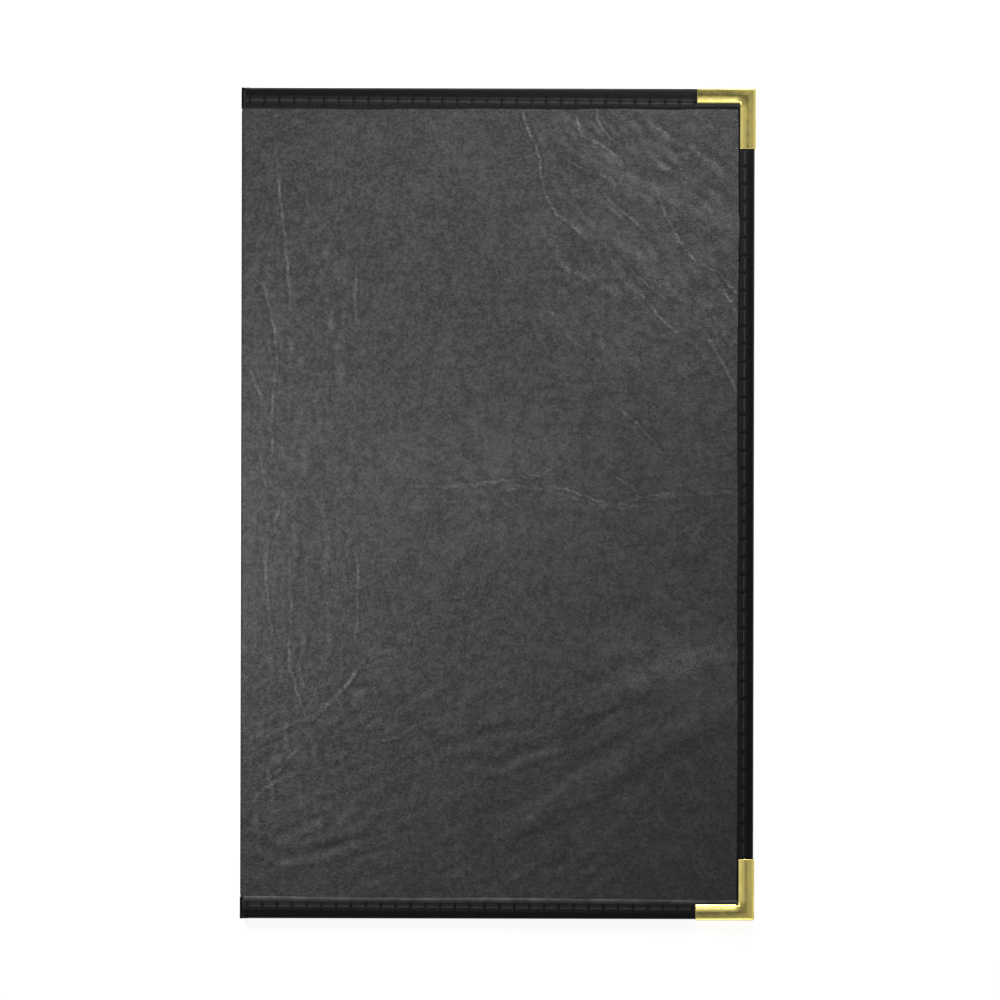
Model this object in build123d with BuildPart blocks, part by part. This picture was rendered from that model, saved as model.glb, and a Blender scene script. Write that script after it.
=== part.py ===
from build123d import *
import os

# A closed, book-style menu cover that lies on its back cover.
# X runs from the spine to the fore-edge, Y from the tail to the head, Z up through the closed thickness.
# The origin is the centre of the footprint, on the surface that the cover lies on.

# Overall size, closed
cover_width = 228.6           # outer face of the spine's tape to the fore-edge tape
cover_height = 369.9          # head tape to tail tape
cover_gap = 0.4               # between the brass corners of the two covers

# Layers of a cover, from its outer face inwards
skin_thickness = 0.8
board_thickness = 1.6
lining_thickness = 0.3
pocket_thickness = 0.3

# Edge tape, folded over the whole stack
tape_thickness = 0.5
head_tape_width = 9.4
fore_edge_tape_width = 7.6
tape_fold_radius = 1.0

# Pressed brass corners, folded over the tape
brass_thickness = 0.45
corner_leg_length = 27.3
corner_leg_width = 7.0
corner_bend_radius = 0.7
corner_point_radius = 0.8

# Folds beside the spine
fold_clearance = 0.3
board_setback = 3.0           # bare skin from a fold to the board's edge
strip_thickness = 0.6
strip_setback = 1.3           # bare skin from a fold to the spine strip

# Seams
thread_width = 0.8
thread_rise = 0.4
thread_round = 0.3
head_stitch_pitch = 6.6
fore_edge_stitch_pitch = 7.9
needle_gap = 0.9
head_seam_inset = 5.8
fore_edge_seam_inset = 4.5
seam_start_inset = 4.0
seam_end_clearance = 0.6

# Levels of the back cover's layers
tape_level = brass_thickness
skin_level = tape_level + tape_thickness
board_level = skin_level + skin_thickness
lining_level = board_level + board_thickness
pocket_level = lining_level + lining_thickness
inner_tape_level = pocket_level + pocket_thickness
inner_brass_level = inner_tape_level + tape_thickness
cover_top_level = inner_brass_level + brass_thickness
closing_level = cover_top_level + cover_gap / 2
closed_thickness = 2 * closing_level

# Places along X and Y
spine_face = -(cover_width + brass_thickness) / 2
fore_edge_face = spine_face + cover_width
head_face = cover_height / 2
stack_edge = fore_edge_face - tape_thickness
stack_head = head_face - tape_thickness
corner_side = fore_edge_face + brass_thickness
corner_head = head_face + brass_thickness

# The two fold lines run along Y through the middle of the skin
fold_x = spine_face + tape_thickness + skin_thickness / 2
back_fold_level = skin_level + skin_thickness / 2
front_fold_level = closed_thickness - back_fold_level
spine_height = front_fold_level - back_fold_level
board_start = fold_x + board_setback
cover_start = fold_x + skin_thickness / 2 + tape_thickness + fold_clearance

# Levels of the spine's layers, measured along X
spine_skin_face = spine_face + tape_thickness
spine_strip_face = spine_skin_face + skin_thickness
spine_lining_face = spine_strip_face + strip_thickness
spine_inner_face = spine_lining_face + lining_thickness
spine_tape_inner_face = spine_inner_face + tape_thickness

tail_mirror = Plane.XZ
closing_plane = Plane.XY.offset(closing_level)
pieces = {}


def keep(name, part):
    part.label = name
    pieces[name] = part


# The four flat sheets of the back cover

with BuildPart() as back_skin:
    with BuildSketch(Plane.XY.offset(skin_level)):
        with Locations((cover_start, 0)):
            Rectangle(stack_edge - cover_start, 2 * stack_head, align=(Align.MIN, Align.CENTER))
    extrude(amount=skin_thickness)
keep("back_skin", back_skin.part)

with BuildPart() as back_board:
    with BuildSketch(Plane.XY.offset(board_level)):
        with Locations((board_start, 0)):
            Rectangle(stack_edge - board_start, 2 * stack_head, align=(Align.MIN, Align.CENTER))
    extrude(amount=board_thickness)
keep("back_board", back_board.part)

with BuildPart() as back_lining:
    with BuildSketch(Plane.XY.offset(lining_level)):
        with Locations((board_start, 0)):
            Rectangle(stack_edge - board_start, 2 * stack_head, align=(Align.MIN, Align.CENTER))
    extrude(amount=lining_thickness)
keep("back_lining", back_lining.part)

with BuildPart() as back_pocket:
    with BuildSketch(Plane.XY.offset(pocket_level)):
        with Locations((board_start, 0)):
            Rectangle(stack_edge - board_start, 2 * stack_head, align=(Align.MIN, Align.CENTER))
    extrude(amount=pocket_thickness)
keep("back_pocket", back_pocket.part)


# Edge tapes: a channel closed at the edge, with a leaf on each face of the cover

with BuildPart() as back_head_tape:
    with BuildSketch(Plane.YZ.offset(board_start)):
        with Locations((head_face, tape_level)):
            Rectangle(head_tape_width, inner_brass_level - tape_level, align=(Align.MAX, Align.MIN))
    extrude(amount=stack_edge - board_start)
    fold_edges = back_head_tape.edges().filter_by(Axis.X).group_by(Axis.Y)[-1]
    fillet(fold_edges, tape_fold_radius)
    with BuildSketch(Plane.YZ.offset(board_start)):
        with Locations((stack_head, skin_level)):
            Rectangle(head_tape_width, inner_tape_level - skin_level, align=(Align.MAX, Align.MIN))
    extrude(amount=stack_edge - board_start, mode=Mode.SUBTRACT)
    # Beside the fold the tape holds the skin alone
    with BuildSketch(Plane.YZ.offset(cover_start)):
        with Locations((head_face, tape_level)):
            Rectangle(head_tape_width, tape_thickness, align=(Align.MAX, Align.MIN))
            Rectangle(tape_thickness, board_level - tape_level, align=(Align.MAX, Align.MIN))
    extrude(amount=board_start - cover_start)
keep("back_head_tape", back_head_tape.part)

with BuildPart() as back_fore_edge_tape:
    with BuildSketch(Plane.XZ.offset(-head_face)):
        with Locations((fore_edge_face, tape_level)):
            Rectangle(fore_edge_tape_width, inner_brass_level - tape_level, align=(Align.MAX, Align.MIN))
    extrude(amount=cover_height)
    fold_edges = back_fore_edge_tape.edges().filter_by(Axis.Y).group_by(Axis.X)[-1]
    fillet(fold_edges, tape_fold_radius)
    with BuildSketch(Plane.XZ.offset(-head_face)):
        with Locations((stack_edge, skin_level)):
            Rectangle(fore_edge_tape_width, inner_tape_level - skin_level, align=(Align.MAX, Align.MIN))
    extrude(amount=cover_height, mode=Mode.SUBTRACT)
    # The leaves stop at the head and tail tapes, and the fold runs on to close their ends
    with BuildSketch():
        with Locations((stack_edge, head_face)):
            Rectangle(fore_edge_tape_width, head_tape_width, align=(Align.MAX, Align.MAX))
        with Locations((stack_edge, -head_face)):
            Rectangle(fore_edge_tape_width, head_tape_width, align=(Align.MAX, Align.MIN))
    extrude(amount=cover_top_level, mode=Mode.SUBTRACT)
keep("back_fore_edge_tape", back_fore_edge_tape.part)


# Brass corner: an L of sheet folded over the tape on both edges

with BuildPart() as back_head_corner:
    with BuildSketch():
        with Locations((corner_side, corner_head)):
            Rectangle(corner_leg_length, corner_leg_width, align=(Align.MAX, Align.MAX))
            Rectangle(corner_leg_width, corner_leg_length, align=(Align.MAX, Align.MAX))
    extrude(amount=cover_top_level)
    point_edge = back_head_corner.edges().filter_by(Axis.Z).sort_by(Axis.X)[-2:].sort_by(Axis.Y)[-1]
    fillet(point_edge, corner_point_radius)
    levels = back_head_corner.edges().group_by(Axis.Z)
    face_edges = levels[0] + levels[-1]
    bend_x = corner_side - corner_point_radius
    bend_y = corner_head - corner_point_radius
    bend_edges = face_edges.filter_by(lambda edge: edge.center().X > bend_x or edge.center().Y > bend_y)
    fillet(bend_edges, corner_bend_radius)
    with BuildSketch(Plane.XY.offset(brass_thickness)):
        with Locations((fore_edge_face, head_face)):
            Rectangle(corner_leg_length, corner_leg_length, align=(Align.MAX, Align.MAX))
    extrude(amount=cover_top_level - 2 * brass_thickness, mode=Mode.SUBTRACT)
keep("back_head_corner", back_head_corner.part)


# Seams: the thread's runs between needle holes, on the outer and the inner leaf of a tape

seam_start = spine_face + seam_start_inset
head_seam_length = corner_side - corner_leg_length - seam_end_clearance - seam_start
fore_edge_seam_length = 2 * (corner_head - corner_leg_length - seam_end_clearance)
head_stitch_count = round((head_seam_length + needle_gap) / head_stitch_pitch)
fore_edge_stitch_count = round((fore_edge_seam_length + needle_gap) / fore_edge_stitch_pitch)
head_step = (head_seam_length + needle_gap) / head_stitch_count
fore_edge_step = (fore_edge_seam_length + needle_gap) / fore_edge_stitch_count

with BuildPart() as back_head_stitching:
    for level, rise in ((tape_level, -thread_rise), (inner_brass_level, thread_rise)):
        with BuildSketch(Plane.XY.offset(level)):
            with Locations((seam_start + head_seam_length / 2, head_face - head_seam_inset)):
                with GridLocations(head_step, head_step, head_stitch_count, 1):
                    SlotOverall(head_step - needle_gap, thread_width)
        extrude(amount=rise)
    levels = back_head_stitching.edges().group_by(Axis.Z)
    fillet(levels[0] + levels[-1], thread_round)
keep("back_head_stitching", back_head_stitching.part)

with BuildPart() as back_fore_edge_stitching:
    for level, rise in ((tape_level, -thread_rise), (inner_brass_level, thread_rise)):
        with BuildSketch(Plane.XY.offset(level)):
            with Locations((fore_edge_face - fore_edge_seam_inset, 0)):
                with GridLocations(fore_edge_step, fore_edge_step, 1, fore_edge_stitch_count):
                    SlotOverall(fore_edge_step - needle_gap, thread_width, rotation=90)
        extrude(amount=rise)
    levels = back_fore_edge_stitching.edges().group_by(Axis.Z)
    fillet(levels[0] + levels[-1], thread_round)
keep("back_fore_edge_stitching", back_fore_edge_stitching.part)


# The tail's pieces mirror the head's, and the front cover mirrors the whole back cover

for name in ("back_head_tape", "back_head_corner", "back_head_stitching"):
    with BuildPart() as tail_piece:
        add(pieces[name])
        mirror(about=tail_mirror, mode=Mode.REPLACE)
    keep(name.replace("head", "tail"), tail_piece.part)

for name in list(pieces):
    with BuildPart() as front_piece:
        add(pieces[name])
        mirror(about=closing_plane, mode=Mode.REPLACE)
    keep(name.replace("back", "front"), front_piece.part)


# Spine: skin with rounded ends that turn on the fold lines, card strip, lining and two short tapes

with BuildPart() as spine_skin:
    with BuildSketch(Plane.XZ.offset(-stack_head)):
        with Locations((fold_x, closing_level)):
            SlotCenterToCenter(spine_height, skin_thickness, rotation=90)
    extrude(amount=2 * stack_head)
keep("spine_skin", spine_skin.part)

with BuildPart() as spine_strip:
    with BuildSketch(Plane.XZ.offset(-stack_head)):
        with Locations((spine_strip_face, closing_level)):
            Rectangle(strip_thickness, spine_height - 2 * strip_setback, align=(Align.MIN, Align.CENTER))
    extrude(amount=2 * stack_head)
keep("spine_strip", spine_strip.part)

with BuildPart() as spine_lining:
    with BuildSketch(Plane.XZ.offset(-stack_head)):
        with Locations((spine_lining_face, closing_level)):
            Rectangle(lining_thickness, spine_height - 2 * strip_setback, align=(Align.MIN, Align.CENTER))
    extrude(amount=2 * stack_head)
keep("spine_lining", spine_lining.part)

with BuildPart() as spine_head_tape:
    # Outer leaf, wrapped round both folds
    with BuildSketch(Plane.XZ.offset(-head_face)):
        with Locations((fold_x, closing_level)):
            SlotCenterToCenter(spine_height, skin_thickness + 2 * tape_thickness, rotation=90)
            SlotCenterToCenter(spine_height, skin_thickness, rotation=90, mode=Mode.SUBTRACT)
            Rectangle(closed_thickness, 2 * closed_thickness, align=(Align.MIN, Align.CENTER), mode=Mode.SUBTRACT)
    extrude(amount=head_tape_width)
    # Inner leaf, over the lining
    with BuildSketch(Plane.XZ.offset(-head_face)):
        with Locations((spine_inner_face, closing_level)):
            Rectangle(tape_thickness, spine_height - 2 * strip_setback, align=(Align.MIN, Align.CENTER))
    extrude(amount=head_tape_width)
    # Fold over the head edge of the spine
    with BuildSketch(Plane.XZ.offset(-head_face)):
        with Locations((fold_x, closing_level)):
            SlotCenterToCenter(spine_height, skin_thickness, rotation=90)
            Rectangle(
                spine_tape_inner_face - fold_x,
                spine_height - 2 * strip_setback,
                align=(Align.MIN, Align.CENTER),
            )
    extrude(amount=tape_thickness)
keep("spine_head_tape", spine_head_tape.part)

with BuildPart() as spine_tail_tape:
    add(spine_head_tape.part)
    mirror(about=tail_mirror, mode=Mode.REPLACE)
keep("spine_tail_tape", spine_tail_tape.part)


os.makedirs("parts", exist_ok=True)
for name, part in pieces.items():
    export_step(part, f"parts/{name}.step")
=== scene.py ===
# Menu cover: the dressed model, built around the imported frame.
# Sizes are in millimetres, and become metres where a mesh is made.
import math

import bmesh
import bpy
import numpy as np
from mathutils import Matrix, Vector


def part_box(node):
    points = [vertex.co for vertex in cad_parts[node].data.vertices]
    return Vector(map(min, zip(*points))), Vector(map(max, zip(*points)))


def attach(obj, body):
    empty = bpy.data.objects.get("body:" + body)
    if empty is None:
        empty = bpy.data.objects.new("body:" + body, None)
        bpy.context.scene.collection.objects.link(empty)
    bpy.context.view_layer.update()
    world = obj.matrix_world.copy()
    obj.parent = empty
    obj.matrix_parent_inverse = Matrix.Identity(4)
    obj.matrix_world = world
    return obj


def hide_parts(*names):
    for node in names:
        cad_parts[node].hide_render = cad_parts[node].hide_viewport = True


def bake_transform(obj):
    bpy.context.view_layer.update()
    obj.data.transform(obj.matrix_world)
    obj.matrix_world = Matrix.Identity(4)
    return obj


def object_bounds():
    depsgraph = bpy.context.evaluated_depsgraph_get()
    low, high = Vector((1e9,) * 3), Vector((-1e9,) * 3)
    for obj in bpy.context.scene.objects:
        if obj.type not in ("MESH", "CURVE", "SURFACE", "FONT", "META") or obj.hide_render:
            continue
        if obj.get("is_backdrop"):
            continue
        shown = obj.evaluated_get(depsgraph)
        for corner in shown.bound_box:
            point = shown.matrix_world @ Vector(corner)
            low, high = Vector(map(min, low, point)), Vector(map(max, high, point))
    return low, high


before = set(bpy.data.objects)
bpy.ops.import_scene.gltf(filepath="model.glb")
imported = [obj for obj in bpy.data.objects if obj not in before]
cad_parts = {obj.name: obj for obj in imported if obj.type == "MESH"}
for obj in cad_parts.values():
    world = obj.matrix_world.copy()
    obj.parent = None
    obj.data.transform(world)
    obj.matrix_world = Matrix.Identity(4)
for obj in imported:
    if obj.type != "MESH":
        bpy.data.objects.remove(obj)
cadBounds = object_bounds()
mm = 0.001
print("frame loaded:", len(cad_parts), "nodes")


def cornersOf(node):
    low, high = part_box(node)
    return np.array(low) / mm, np.array(high) / mm


# Places that every piece is built from, read from the frame
skinLow, skinHigh = cornersOf("front_skin")
spineLow, spineHigh = cornersOf("spine_skin")
tapeLow, tapeHigh = cornersOf("front_head_tape")
sideTapeLow, sideTapeHigh = cornersOf("front_fore_edge_tape")
brassLow, brassHigh = cornersOf("front_head_corner")

closing = (spineLow[2] + spineHigh[2]) / 2            # level between the two covers
skinThickness = skinHigh[2] - skinLow[2]
foldX = (spineLow[0] + spineHigh[0]) / 2
foldHeight = spineHigh[2] - skinThickness / 2 - closing   # a fold line, from the closing level
skinHeight = skinHigh[2] - closing                    # outer face of the skin, from the closing level
tapeHeight = tapeHigh[2] - closing
tapeInner = tapeLow[2] - closing
brassHeight = brassHigh[2] - closing
brassInner = brassLow[2] - closing
headFace = tapeHigh[1]
headTapeWidth = tapeHigh[1] - tapeLow[1]
sideTapeWidth = sideTapeHigh[0] - sideTapeLow[0]
foreEdge = sideTapeHigh[0]
stackEdge = skinHigh[0]
stackHead = skinHigh[1]
# Which way each cover's outer face points along Z
outward = {"front": 1, "back": -1}


def newPiece(name, points, faces, materials, flatFrom=None, slots=None):
    # Points are in millimetres, and faces from flatFrom on are flat shaded
    mesh = bpy.data.meshes.new(name)
    mesh.from_pydata((np.asarray(points) * mm).tolist(), [], faces)
    for material in materials:
        mesh.materials.append(material)
    smooth = np.ones(len(mesh.polygons), dtype=bool)
    if flatFrom is not None:
        smooth[flatFrom:] = False
    mesh.polygons.foreach_set("use_smooth", smooth)
    if slots is not None:
        mesh.polygons.foreach_set("material_index", slots)
    mesh.update()
    piece = bpy.data.objects.new(name, mesh)
    bpy.context.scene.collection.objects.link(piece)
    return piece


def tubeFaces(rows, size, start=0):
    # Faces between closed rows of points, and then the two ends
    faces = []
    for row in range(rows - 1):
        base = start + row * size
        faces += [(base + k, base + (k + 1) % size, base + size + (k + 1) % size, base + size + k)
                  for k in range(size)]
    last = start + (rows - 1) * size
    return faces + [[start + k for k in range(size)], [last + k for k in range(size)]]


def faceOutwards(piece, joined=True):
    # joined also welds points that lie on one another
    work = bmesh.new()
    work.from_mesh(piece.data)
    if joined:
        bmesh.ops.remove_doubles(work, verts=work.verts, dist=2e-6)
    bmesh.ops.recalc_face_normals(work, faces=work.faces)
    work.to_mesh(piece.data)
    work.free()


def keepRestPlace(piece):
    # Each point keeps where it lies at rest, so that the grain stays put when the piece bends
    count = len(piece.data.vertices)
    places = np.zeros(count * 3, dtype=np.float32)
    piece.data.vertices.foreach_get("co", places)
    attribute = piece.data.attributes.new("restPlace", "FLOAT_VECTOR", "POINT")
    attribute.data.foreach_set("vector", places)


def addMask(piece, name, values):
    attribute = piece.data.attributes.new(name, "FLOAT", "POINT")
    attribute.data.foreach_set("value", np.asarray(values, dtype=np.float32))


# Shaders

def plug(tree, node, values):
    # Each value is another node's output, which is linked, or a number or colour, which is set
    for name, value in values.items():
        if isinstance(value, bpy.types.NodeSocket):
            tree.links.new(value, node.inputs[name])
        else:
            node.inputs[name].default_value = (*value, 1.0) if isinstance(value, tuple) else value


def mathNode(tree, operation, first, second=None, clamp=False):
    node = tree.nodes.new("ShaderNodeMath")
    node.operation = operation
    node.use_clamp = clamp
    plug(tree, node, {0: first} if second is None else {0: first, 1: second})
    return node.outputs[0]


def noiseNode(tree, vector, scale, detail=3.0, roughness=0.5):
    node = tree.nodes.new("ShaderNodeTexNoise")
    plug(tree, node, {"Vector": vector, "Scale": scale, "Detail": detail, "Roughness": roughness})
    return node.outputs["Fac"]


def rampNode(tree, value, low, high, outLow=0.0, outHigh=1.0):
    node = tree.nodes.new("ShaderNodeMapRange")
    node.interpolation_type = "SMOOTHSTEP"
    plug(tree, node, {"Value": value, "From Min": low, "From Max": high, "To Min": outLow, "To Max": outHigh})
    return node.outputs["Result"]


def buildGrainGroup():
    # Leather-look grain: small pebbles, finer pores and a slow mottle, all in the piece's own metres
    group = bpy.data.node_groups.new("leatherGrain", "ShaderNodeTree")
    group.interface.new_socket(name="Vector", in_out="INPUT", socket_type="NodeSocketVector")
    for name in ("Pebble Scale", "Pore Scale", "Mottle Scale"):
        group.interface.new_socket(name=name, in_out="INPUT", socket_type="NodeSocketFloat")
    for name in ("Height", "Speckle", "Mottle"):
        group.interface.new_socket(name=name, in_out="OUTPUT", socket_type="NodeSocketFloat")
    inputs = group.nodes.new("NodeGroupInput")
    outputs = group.nodes.new("NodeGroupOutput")
    vector = inputs.outputs["Vector"]
    cells = group.nodes.new("ShaderNodeTexVoronoi")
    cells.feature = "DISTANCE_TO_EDGE"
    plug(group, cells, {"Vector": vector, "Scale": inputs.outputs["Pebble Scale"]})
    pebble = rampNode(group, cells.outputs["Distance"], 0.0, 0.45)
    pore = noiseNode(group, vector, inputs.outputs["Pore Scale"], 2.0, 0.6)
    speckle = noiseNode(group, vector, inputs.outputs["Pebble Scale"], 4.0, 0.65)
    mottle = noiseNode(group, vector, inputs.outputs["Mottle Scale"], 5.0, 0.62)
    height = mathNode(group, "MULTIPLY", pebble, 0.6)
    height = mathNode(group, "ADD", height, mathNode(group, "MULTIPLY", pore, 0.4))
    height = mathNode(group, "ADD", height, mathNode(group, "MULTIPLY", speckle, 0.5))
    plug(group, outputs, {"Height": height, "Speckle": speckle, "Mottle": mottle})
    return group


grainGroup = buildGrainGroup()


def newMaterial(name):
    material = bpy.data.materials.new(name)
    material.use_nodes = True
    tree = material.node_tree
    return material, tree, tree.nodes["Principled BSDF"]


def placeSocket(tree, attribute=None):
    if attribute is None:
        return tree.nodes.new("ShaderNodeTexCoord").outputs["Object"]
    node = tree.nodes.new("ShaderNodeAttribute")
    node.attribute_name = attribute
    return node.outputs["Vector"]


def maskSocket(tree, name):
    node = tree.nodes.new("ShaderNodeAttribute")
    node.attribute_name = name
    return node.outputs["Fac"]


def grainNode(tree, vector, pebble, pore, mottle):
    node = tree.nodes.new("ShaderNodeGroup")
    node.node_tree = grainGroup
    plug(tree, node, {"Vector": vector, "Pebble Scale": pebble, "Pore Scale": pore, "Mottle Scale": mottle})
    return node


def mixColours(tree, factor, first, second):
    # In this node inputs 6 and 7 and output 2 are the colours
    node = tree.nodes.new("ShaderNodeMix")
    node.data_type = "RGBA"
    plug(tree, node, {"Factor": factor, 6: first, 7: second})
    return node.outputs[2]


def bumpNode(tree, height, strength, distance):
    node = tree.nodes.new("ShaderNodeBump")
    plug(tree, node, {"Height": height, "Strength": strength, "Distance": distance})
    return node.outputs["Normal"]


skinLook = {
    "dark": (0.023, 0.023, 0.0235),
    "light": (0.072, 0.072, 0.073),
    # pale of rubbed creases, also used for painted light
    "worn": (0.165, 0.165, 0.166),
    "roughness": 0.5,
    "sheen": 0.17,
}


def makeSkinMaterial():
    material, tree, surface = newMaterial("coverSkin")
    place = placeSocket(tree, "restPlace")
    grain = grainNode(tree, place, 780.0, 2100.0, 42.0)
    patches = noiseNode(tree, place, 150.0, 4.0, 0.6)
    clots = noiseNode(tree, place, 340.0, 3.0, 0.55)
    fine = rampNode(tree, grain.outputs["Speckle"], 0.34, 0.68)
    tone = mathNode(tree, "ADD", mathNode(tree, "MULTIPLY", fine, 0.68), 0.03)
    tone = mathNode(tree, "ADD", tone, rampNode(tree, patches, 0.3, 0.7, -0.14, 0.18))
    tone = mathNode(tree, "ADD", tone, rampNode(tree, clots, 0.3, 0.7, -0.19, 0.2))
    tone = mathNode(tree, "ADD", tone, rampNode(tree, grain.outputs["Mottle"], 0.32, 0.68, -0.1, 0.1))
    creaseWearAndPaintedLight = maskSocket(tree, "creaseWearAndPaintedLight")               # above 0 rubbed paler and painted light, below 0 painted shade
    # Painted shade where the mask is below 0: beside each crease and in the dark patches
    tone = mathNode(tree, "ADD", tone, mathNode(tree, "MINIMUM", creaseWearAndPaintedLight, 0.0), clamp=True)
    colour = mixColours(tree, tone, skinLook["dark"], skinLook["light"])
    # A crease is a broken row of flecks where the surface has rubbed pale; the same flecks give the painted
    # light of the wide patches and the swells
    flecks = rampNode(tree, noiseNode(tree, place, 980.0, 2.0, 0.5), 0.43, 0.62, 0.3, 1.0)
    breaks = rampNode(tree, patches, 0.39, 0.57, 0.35, 1.0)
    worn = mathNode(tree, "MULTIPLY", mathNode(tree, "MULTIPLY", flecks, breaks), creaseWearAndPaintedLight, clamp=True)
    colour = mixColours(tree, worn, colour, skinLook["worn"])
    roughness = skinLook["roughness"]
    rough = rampNode(tree, grain.outputs["Mottle"], 0.3, 0.7, roughness - 0.06, roughness + 0.08)
    height = mathNode(tree, "ADD", grain.outputs["Height"], mathNode(tree, "MULTIPLY", clots, 1.5))
    plug(tree, surface, {"Base Color": colour, "Roughness": rough, "Specular IOR Level": skinLook["sheen"],
                         "Normal": bumpNode(tree, height, 0.65, 0.00028)})
    return material


tapeLook = {
    "dark": (0.0025, 0.0025, 0.0026),
    "light": (0.006, 0.006, 0.0062),
    # pale of the fold's wear and of the painted highlights at fold and hem
    "rubbedAndPaintedHighlight": (0.15, 0.15, 0.151),
    # painted highlight colour of the rib between needle holes
    "paintedRibHighlight": (0.027, 0.027, 0.0273),
    "roughness": 0.42,
    "sheen": 0.05,
}


def makeTapeMaterial():
    material, tree, surface = newMaterial("edgeTape")
    grain = grainNode(tree, placeSocket(tree), 1500.0, 3600.0, 120.0)
    fine = rampNode(tree, grain.outputs["Speckle"], 0.35, 0.65)
    colour = mixColours(tree, fine, tapeLook["dark"], tapeLook["light"])
    patches = rampNode(tree, grain.outputs["Mottle"], 0.3, 0.6, 0.5, 1.0)
    # The fold's rim is worn paler with a painted highlight, and the hem takes a painted highlight, strongest
    # at the tail
    rubbedAndPaintedHighlight = mathNode(tree, "MULTIPLY", maskSocket(tree, "rim"), patches)
    # Painted highlight on the rib between the needle holes
    colour = mixColours(tree, maskSocket(tree, "puff"), colour, tapeLook["paintedRibHighlight"])
    colour = mixColours(tree, rubbedAndPaintedHighlight, colour, tapeLook["rubbedAndPaintedHighlight"])
    roughness = tapeLook["roughness"]
    rough = rampNode(tree, grain.outputs["Mottle"], 0.3, 0.7, roughness - 0.05, roughness + 0.1)
    plug(tree, surface, {"Base Color": colour, "Roughness": rough, "Specular IOR Level": tapeLook["sheen"],
                         "Normal": bumpNode(tree, grain.outputs["Height"], 0.35, 0.0001)})
    return material


threadLook = {
    "colour": (0.022, 0.022, 0.0223),
    "fleck": (0.078, 0.078, 0.078),
    "roughness": 0.45,
    "sheen": 0.14,
}


def makeThreadMaterial():
    material, tree, surface = newMaterial("waxedThread")
    fibre = noiseNode(tree, placeSocket(tree), 4200.0, 3.0, 0.6)
    colour = mixColours(tree, rampNode(tree, fibre, 0.45, 0.7), threadLook["colour"], threadLook["fleck"])
    rough = rampNode(tree, fibre, 0.2, 0.8, threadLook["roughness"], threadLook["roughness"] + 0.2)
    plug(tree, surface, {"Base Color": colour, "Roughness": rough, "Specular IOR Level": threadLook["sheen"],
                         "Normal": bumpNode(tree, fibre, 0.5, 0.00006)})
    return material


brassLook = {"clean": (0.82, 0.71, 0.25), "aged": (0.63, 0.51, 0.14), "roughness": 0.1}


def makeBrassMaterial():
    material, tree, surface = newMaterial("wornBrass")
    vector = placeSocket(tree)
    cloud = noiseNode(tree, vector, 140.0, 6.0, 0.65)
    stretch = tree.nodes.new("ShaderNodeMapping")
    stretch.inputs["Rotation"].default_value = (0.0, 0.0, 0.6)
    stretch.inputs["Scale"].default_value = (400.0, 5200.0, 400.0)
    tree.links.new(vector, stretch.inputs["Vector"])
    scratch = noiseNode(tree, stretch.outputs["Vector"], 5.0, 4.0)
    colour = mixColours(tree, rampNode(tree, cloud, 0.35, 0.7), brassLook["clean"], brassLook["aged"])
    rough = mathNode(tree, "ADD", rampNode(tree, cloud, 0.3, 0.75, 0.0, 0.12), brassLook["roughness"])
    plug(tree, surface, {"Base Color": colour, "Metallic": 1.0, "Roughness": rough,
                         "Normal": bumpNode(tree, scratch, 0.12, 0.00004)})
    return material


clothLook = {"dark": (0.007, 0.007, 0.0075), "light": (0.02, 0.02, 0.021), "threadsPerMetre": 1900.0}


def makeClothMaterial(name, attribute=None):
    # Plain weave: two sets of threads at right angles in the piece's own X and Y
    material, tree, surface = newMaterial(name)
    vector = placeSocket(tree, attribute)
    parts = tree.nodes.new("ShaderNodeSeparateXYZ")
    tree.links.new(vector, parts.inputs[0])
    waves = []
    for axis in ("X", "Y"):
        turn = mathNode(tree, "MULTIPLY", parts.outputs[axis], clothLook["threadsPerMetre"] * math.pi)
        waves.append(mathNode(tree, "ABSOLUTE", mathNode(tree, "SINE", turn)))
    weave = mathNode(tree, "MULTIPLY", waves[0], waves[1])
    fuzz = noiseNode(tree, vector, 1800.0, 4.0, 0.6)
    tone = mathNode(tree, "MULTIPLY", mathNode(tree, "ADD", weave, fuzz), 0.5, clamp=True)
    colour = mixColours(tree, tone, clothLook["dark"], clothLook["light"])
    bump = bumpNode(tree, weave, 0.6, 0.00012)
    plug(tree, surface, {"Base Color": colour, "Roughness": 0.8, "Normal": bump})
    return material


boardLook = {"dark": (0.24, 0.22, 0.19), "light": (0.36, 0.34, 0.3)}


def makeBoardMaterial():
    material, tree, surface = newMaterial("greyBoard")
    vector = placeSocket(tree)
    fibre = noiseNode(tree, vector, 900.0, 6.0, 0.7)
    fleck = noiseNode(tree, vector, 180.0, 3.0, 0.5)
    tone = mathNode(tree, "MULTIPLY", mathNode(tree, "ADD", fibre, fleck), 0.5, clamp=True)
    colour = mixColours(tree, tone, boardLook["dark"], boardLook["light"])
    bump = bumpNode(tree, fibre, 0.4, 0.0001)
    plug(tree, surface, {"Base Color": colour, "Roughness": 0.9, "Normal": bump})
    return material


pocketLook = {"tint": (0.9, 0.92, 0.93), "alpha": 0.085, "haze": 0.006, "roughness": 0.17, "ripple": 0.0006}


def makePocketMaterial():
    # Clear soft sheet: mostly see-through, with gentle ripples that catch the light
    material, tree, surface = newMaterial("clearPocket")
    vector = placeSocket(tree)
    ripple = noiseNode(tree, vector, 16.0, 1.0, 0.4)
    haze = noiseNode(tree, vector, 24.0, 6.0, 0.6)
    least, most = pocketLook["alpha"] - pocketLook["haze"], pocketLook["alpha"] + pocketLook["haze"]
    clearness = rampNode(tree, haze, 0.3, 0.7, least, most)
    plug(tree, surface, {"Base Color": pocketLook["tint"], "Roughness": pocketLook["roughness"],
                         "Alpha": clearness, "Normal": bumpNode(tree, ripple, 0.5, pocketLook["ripple"])})
    return material


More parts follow.
